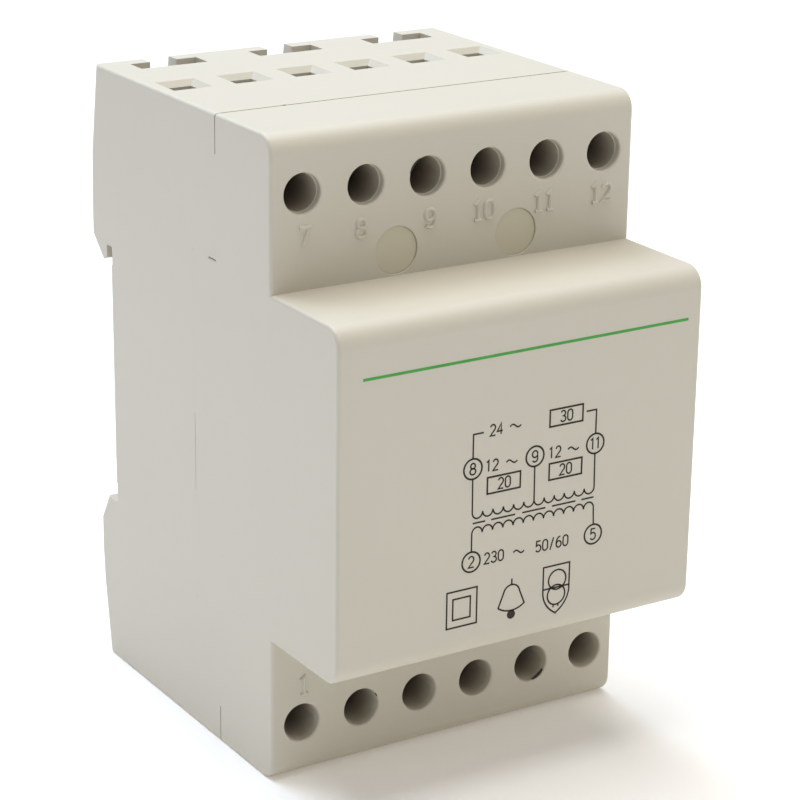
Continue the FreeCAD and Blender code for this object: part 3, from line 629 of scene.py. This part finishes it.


# Tongue of the seam. A thin lip stands up from the base all round the sides and closes the
# stepped seam from behind, so that on a side it shows only near the corners, at the step and
# halfway down. Along the top a thin dark film lies over the seam as a painted shadow line,
# with one darker speck.

side_seam_y, step_open_y = -23.4 * mm, -27.6 * mm
seam_step_z = 23.2 * mm
tongue_width, tongue_depth = seam_gap + 0.01 * mm, 1.2 * mm
line_from, line_to = 1.8 * mm, -8.6 * mm
flush, sunk = 0.006 * mm, 0.05 * mm
fill_z, fill_half = seam_step_z + 0.17 * mm, 0.24 * mm
tongue_plastic = moulded("satin_grey_polycarbonate", shell_light, shell_dark, shell_roughness,
                         shell_grain, shell_pit)
half_width = cover_high.x
end_z = cover_high.z
thin = tongue_width / 2
lips = []
for run, depth, half in (([(seam_y, end_z - seam_open), (seam_y, seam_step_z)], flush, thin),
                         ([(seam_y, seam_step_z), (step_open_y, seam_step_z)], sunk, thin),
                         ([(step_open_y, fill_z), (side_seam_y, fill_z)], flush, fill_half),
                         ([(side_seam_y, seam_step_z), (side_seam_y, line_from)], flush, thin),
                         ([(side_seam_y, line_from), (side_seam_y, line_to)], sunk, thin),
                         ([(side_seam_y, line_to), (side_seam_y, -seam_step_z)], flush, thin),
                         ([(side_seam_y, -fill_z), (seam_y, -fill_z)], flush, fill_half),
                         ([(seam_y, -seam_step_z), (seam_y, seam_open - end_z)], flush, thin)):
    section = [(-half, -tongue_depth), (-half, -depth), (half, -depth), (half, -tongue_depth)]
    run = np.array(run)
    lips.append(ridge(run, section, lambda a, out, b: np.stack([half_width + out, a, b], -1)))
    lips.append(ridge(run, section[::-1], lambda a, out, b: np.stack([-half_width - out, a, b], -1)))
piece("seam_tongue", lips, tongue_plastic, "housing")

# Painted shadow: a thin dark film on the top along the seam stands in for the shade in the gap, with one
# darker speck sunk in the seam.
painted_seam_shadow_and_speck = moulded("painted_shadow_line_and_speck", "#6A5C44", "#8C7C62", 0.8, 0.3 * mm, 0.01 * mm)
shadow_end, shadow_half = half_width - 0.9 * mm, 0.14 * mm
speck_from, speck_to, speck_sunk, speck_radius = -17.1 * mm, -16.2 * mm, 0.12 * mm, 0.22 * mm
shadow_section = [(-shadow_half, -proud), (-shadow_half, proud), (shadow_half, proud), (shadow_half, -proud)]
shadow_run = np.array([(-shadow_end, seam_y), (shadow_end, seam_y)])
speck = [(x, seam_y, end_z - speck_sunk) for x in np.linspace(speck_from, speck_to, len(swell))]
piece("painted_seam_shadow_and_speck", [ridge(shadow_run, shadow_section, lambda a, out, b: np.stack([a, b, end_z + out], -1)),
                    tube(speck, speck_radius * swell)], painted_seam_shadow_and_speck, "housing")


# Cover screws. Four self-tapping screws of hardened steel with round heads and cross
# recesses, plated as the terminal screws are, which pull the cover down on the base.

screws_low, screws_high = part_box("cover_screws")
screw_head, screw_head_height = 2.7 * mm, 2.4 * mm
head_soft, recess_soft = 0.4 * mm, 0.1 * mm
recess_long, recess_wide, recess_depth = 1.6 * mm, 0.4 * mm, 1.3 * mm
screw_crest, screw_thread_depth, screw_lead = 1.45 * mm, 0.32 * mm, 1.2 * mm
boss_x, boss_z = screws_high.x - screw_head, screws_high.z - screw_head
a = np.linspace(0, 2 * np.pi, 72, endpoint=False)
cos_a, sin_a = np.maximum(np.abs(np.cos(a)), 1e-6), np.maximum(np.abs(np.sin(a)), 1e-6)
# Reach of a cross in each direction: the longer of its two bars, each cut at its nearer side
cross = np.maximum(np.minimum(recess_long / cos_a, recess_wide / sin_a),
                   np.minimum(recess_wide / cos_a, recess_long / sin_a))
screw_shapes = []
for x in (-boss_x, boss_x):
    for z in (-boss_z, boss_z):
        top, back = screws_low.y, screws_low.y + screw_head_height
        walls = ((0.7 * cross, top + recess_depth), (cross, top + recess_soft),
                 (cross + 0.8 * recess_soft, top))
        recess = [np.stack([x + r * np.cos(a), np.full(72, y), z + r * np.sin(a)], -1) for r, y in walls]
        head = [(screw_head - head_soft, top), (screw_head - 0.3 * head_soft, top + 0.3 * head_soft),
                (screw_head, top + head_soft), (screw_head, back), (screw_crest * 0.8, back)]
        rows = np.concatenate([recess, rings((x, z), head, 72),
                               thread((x, z), back, screws_high.y, screw_crest, screw_thread_depth,
                                      screw_lead, 72)])
        screw_shapes.append(closed(rows))
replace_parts(piece("cross_recess_screws", screw_shapes, zinc_plate, "housing"), "cover_screws")


# Blanking plugs. Four thin polyethylene discs snapped into the shoulder over the cover
# screws: a softer, yellower plastic than the shells, a little below the face round them. The
# cover has a small lip round each one.

plug_plastic = moulded("natural_polyethylene", "#CBC5AE", "#C6C0A8", 0.5, 0.5 * mm, 0.03 * mm)
seat_play, plug_play = 0.1 * mm, 0.015 * mm
seat_radius, lip_inner = (plug_high.x - plug_low.x) / 2 + seat_play, 3.0 * mm
plug_radius = lip_inner - plug_play
plug_sink, plug_edge, plug_dish = 0.2 * mm, 0.05 * mm, 0.05 * mm
soft, lip_deep = 0.1 * mm, 0.6 * mm
lip = [(lip_inner + soft * (1 - math.cos(a)), shoulder_y + soft * (1 - math.sin(a))) for a in arc_angle]
lip += [(lip_inner, shoulder_y + lip_deep), (seat_radius + buried, shoulder_y + lip_deep),
        (seat_radius + buried, shoulder_y + buried), (seat_radius, shoulder_y)]
seats = []
for number in range(1, 5):
    low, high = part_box(f"blanking_plug_{number}")
    centre = ((low.x + high.x) / 2, (low.z + high.z) / 2)
    face = shoulder_y + plug_sink
    r = np.linspace(0.05, 1, 9) * (plug_radius - plug_edge)
    dish = np.stack([r, face + plug_dish * (1 - (r / plug_radius) ** 2)], -1)
    profile = np.concatenate([dish, [(plug_radius, face + plug_edge), (plug_radius, high.y - plug_edge),
                                     (plug_radius - plug_edge, high.y)]])
    disc = piece(f"snap_plug_{number}", [closed(rings(centre, profile, 96))], plug_plastic, "housing")
    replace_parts(disc, f"blanking_plug_{number}")
    seats.append((rings(centre, lip[::-1], 96), [quads(len(lip), 96, True, True)]))
piece("plug_seat_lips", seats, cover_plastic, "housing")


# Printing on the nose: a green rule and the wiring diagram, pad printed in two-part ink that
# stands about a hundredth of a millimetre proud, drawn twice as thick here. The places in the
# drawing are (x, z) in mm.

def ink(name, code):
    """Pad-printing ink: satin, with a slightly uneven film in patches of about 1.5 mm."""
    material, tree, at = start(name)
    patches = add(tree, "TexNoise", {"Scale": 1 / (1.5 * mm), "Detail": 2.0}, {"Vector": (at, "Object")})
    spread = add(tree, "MapRange", {"To Min": 0.85, "To Max": 1.2}, {"Value": (patches, 0)})
    tone = add(tree, "HueSaturation", {"Color": linear(code)}, {"Value": (spread, 0)})
    shader = add(tree, "BsdfPrincipled", {"Roughness": 0.6, "IOR": 1.4}, {"Base Color": (tone, 0)})
    end(tree, shader)
    return material


dark_ink = ink("dark_pad_print_ink", "#2A2117")
green_ink = ink("green_pad_print_ink", "#459E42")
film_out, film_in = 0.02 * mm, -0.01 * mm


def printed(runs, width):
    """Strokes in mm on the nose, as a flat film of ink of one width."""
    half = width / 2 * mm
    section = [(-half, film_in), (-half, film_out), (half, film_out), (half, film_in)]
    return [ridge(np.asarray(run, float) * mm, section, on_front(front_y)) for run in runs]


def frame_of(x0, x1, z0, z1):
    """A rectangle as one closed stroke."""
    return [(x0, z0), (x1, z0), (x1, z1), (x0, z1), (x0, z0)]


piece("green_rule", printed([[(-22.9, 16.0), (24.2, 16.2)]], 0.36), green_ink, "housing")

terminal_marks = {"8": (-7.43, 2.22), "9": (1.6, 2.2), "11": (10.6, 2.24),
                  "2": (-7.38, -9.82), "5": (10.78, -9.82)}
mark_radius = 1.3
turn_pitch, turn_depth, turn_count = 1.505, 0.8, 12
coil_left = -7.38
secondary_z, primary_z, dash_z = -3.46, -6.2, -4.83
wires = []
for i in range(turn_count):
    middle = coil_left + (i + 0.5) * turn_pitch
    wires.append(arc(middle, secondary_z, turn_pitch / 2, turn_depth, 180, 360, 14))
    wires.append(arc(middle, primary_z, turn_pitch / 2, turn_depth, 0, 180, 14))
coil_right = coil_left + turn_count * turn_pitch
coil_tap = coil_left + turn_count / 2 * turn_pitch
for name, x in (("8", coil_left), ("9", coil_tap), ("11", coil_right)):
    mark_x, mark_z = terminal_marks[name]
    wires.append([(mark_x, mark_z - mark_radius), (x, secondary_z)])
for name, x in (("2", coil_left), ("5", coil_right)):
    mark_x, mark_z = terminal_marks[name]
    wires.append([(mark_x, mark_z + mark_radius), (x, primary_z)])
wires.append([(-7.45, 3.5), (-7.45, 6.62), (-6.0, 6.62)])
wires.append([(9.1, 6.69), (10.6, 6.69), (10.6, 3.5)])
for x0, x1 in ((-7.29, -5.47), (-4.6, -1.08), (-0.04, 3.38), (4.36, 7.9), (8.81, 10.65)):
    wires.append([(x0, dash_z), (x1, dash_z)])
piece("wiring_diagram", printed(wires, 0.21), dark_ink, "housing")

marks = [arc(x, z, mark_radius, mark_radius, 0, 360, 48) for x, z in terminal_marks.values()]
for box in ((3.66, 8.55, 5.6, 7.75), (-5.28, -0.48, -1.4, 0.7), (3.78, 8.65, -1.33, 0.8)):
    marks.append(frame_of(*box))
piece("diagram_marks", printed(marks, 0.24), dark_ink, "housing")

figures = []
for text, (x, z) in terminal_marks.items():
    figures += written(text, x - (0.9 + (len(text) - 1) * 0.83) / 2, z - 0.72, 1.44, 0.9, 0.83)
for text, x, z in (("24", -5.1, 6.0), ("12", -5.6, 1.5), ("12", 3.6, 1.5), ("230", -5.5, -10.5),
                   ("50/60", 2.1, -10.5), ("30", 5.2, 6.0), ("20", -3.75, -1.02), ("20", 5.3, -0.95)):
    figures += written(text, x, z, 1.4, 0.84, 1.02)
for x, z in ((-2.2, 6.7), (-2.6, 2.2), (6.5, 2.2), (-1.2, -9.85)):
    t = np.linspace(0, 1, 16)
    figures.append(np.stack([x + 1.6 * t, z + 0.22 * np.sin(2 * np.pi * t)], -1))
piece("diagram_numbers", printed(figures, 0.2), dark_ink, "housing")

bell_x, bell_low = -1.3, -16.87
hem_radius, hem_half = 3.2, math.degrees(math.asin(1.93 / 3.2))
hem_z = bell_low + hem_radius * math.cos(math.radians(hem_half))
bell = joined(arc(bell_x, -15.25, 1.2, 1.18, 12, 168),
              arc(bell_x, hem_z, hem_radius, hem_radius, 270 - hem_half, 270 + hem_half))
shield = joined([(3.43, -12.85), (3.43, -16.2)], arc(7.9, -16.2, 4.47, 3.73, 180, 236, 14), [(5.4, -19.32)],
                arc(2.9, -16.2, 4.47, 3.73, 304, 360, 14), [(7.37, -12.85), (3.43, -12.85)])
signs = [frame_of(-10.78, -6.42, -18.0, -13.24), frame_of(-9.9, -7.37, -17.0, -14.26),
         joined(bell, bell[:1]), [(bell_x, -14.07), (bell_x, -13.28)], shield,
         arc(5.55, -14.83, 1.31, 1.31, 0, 360, 40), arc(5.45, -16.84, 1.32, 1.32, 0, 360, 40),
         [(3.43, -15.85), (7.37, -15.85)], [(5.1, -18.2), (5.02, -18.5)], [(5.75, -18.2), (5.83, -18.45)]]
clapper_radius = 0.6 * mm
dot = [(clapper_radius, front_y - film_out), (clapper_radius, front_y - film_in)]
clapper = rings((-1.28 * mm, -18.05 * mm), dot, 32)
piece("plain_signs", printed(signs, 0.22) + [closed(clapper)], dark_ink, "housing")


# Studio. A pale floor that glows a little, as a lit table does, a large soft light overhead,
# weaker ones from the left and the right, and the camera where the photograph was taken from.

floor_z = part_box("rear_base")[0].z
floor_mesh = bpy.data.meshes.new("floor")
reach = 6.0
corners = [(-reach, -reach, floor_z), (reach, -reach, floor_z),
           (reach, reach, floor_z), (-reach, reach, floor_z)]
floor_mesh.from_pydata(corners, [], [(0, 1, 2, 3)])
floor = bpy.data.objects.new("floor", floor_mesh)
bpy.context.scene.collection.objects.link(floor)
paper, paper_tree, paper_at = start("white_paper")
fibre = add(paper_tree, "TexNoise", {"Scale": 1 / (60 * mm), "Detail": 2.0}, {"Vector": (paper_at, "Object")})
paper_tone = add(paper_tree, "Mix", {"data_type": "RGBA", 6: linear("#F4F4F3"), 7: linear("#F1F1F0")},
                 {0: (fibre, 0)})
end(paper_tree, add(paper_tree, "BsdfPrincipled",
                    {"Roughness": 0.9, "Emission Color": linear("#FFF4E4"), "Emission Strength": 0.14},
                    {"Base Color": (paper_tone, 2)}))
floor_mesh.materials.append(paper)


def lamp(name, place, aim, size, power, code):
    """A square area light at a place, turned to its aim."""
    light = bpy.data.lights.new(name, "AREA")
    light.size = size
    light.energy = power
    light.color = linear(code)[:3]
    made = bpy.data.objects.new(name, light)
    made.location = place
    made.rotation_euler = (Vector(aim) - Vector(place)).to_track_quat("-Z", "Y").to_euler()
    bpy.context.scene.collection.objects.link(made)


middle = (0, -0.03, 0)
lamp("overhead", (0.0, 0.05, 0.75), middle, 0.7, 6.3, "#FFFCF7")
lamp("window_behind", (-0.1, 0.45, 0.7), middle, 0.6, 4.4, "#B8D8FF")
lamp("left_fill", (-0.75, 0.22, 0.3), middle, 0.5, 0.3, "#E4D8FF")
lamp("right_fill", (0.6, -0.6, 0.35), middle, 0.6, 1.3, "#FFF9F2")

world = bpy.data.worlds.new("studio_air")
world.use_nodes = True
world.node_tree.nodes["Background"].inputs["Color"].default_value = linear("#FDFDFF")
world.node_tree.nodes["Background"].inputs["Strength"].default_value = 0.3
bpy.context.scene.world = world
bpy.context.scene.view_settings.view_transform = "Standard"

azimuth, elevation, roll = (math.radians(a) for a in (-32.088, 19.062, 0.790))
distance, focal_pixels, picture = 0.338588, 2623.627, 800
aside, above = -1.830 * mm, 2.078 * mm
aim = Vector((0, front_y + 0.025, 0))
level = math.cos(elevation)
back = Vector((math.sin(azimuth) * level, -math.cos(azimuth) * level, math.sin(elevation)))
right = (-back).cross(Vector((0, 0, 1))).normalized()
up = right.cross(-back)
right_turned = math.cos(roll) * right + math.sin(roll) * up
up_turned = math.cos(roll) * up - math.sin(roll) * right
camera = bpy.data.objects.new("camera", bpy.data.cameras.new("camera"))
camera.data.sensor_width = 36
camera.data.lens = focal_pixels / picture * camera.data.sensor_width
camera.data.clip_start = 0.01
camera.location = aim + back * distance + aside * right_turned + above * up_turned
camera.rotation_euler = Matrix((right_turned, up_turned, back)).transposed().to_euler()
bpy.context.scene.collection.objects.link(camera)
bpy.context.scene.camera = camera
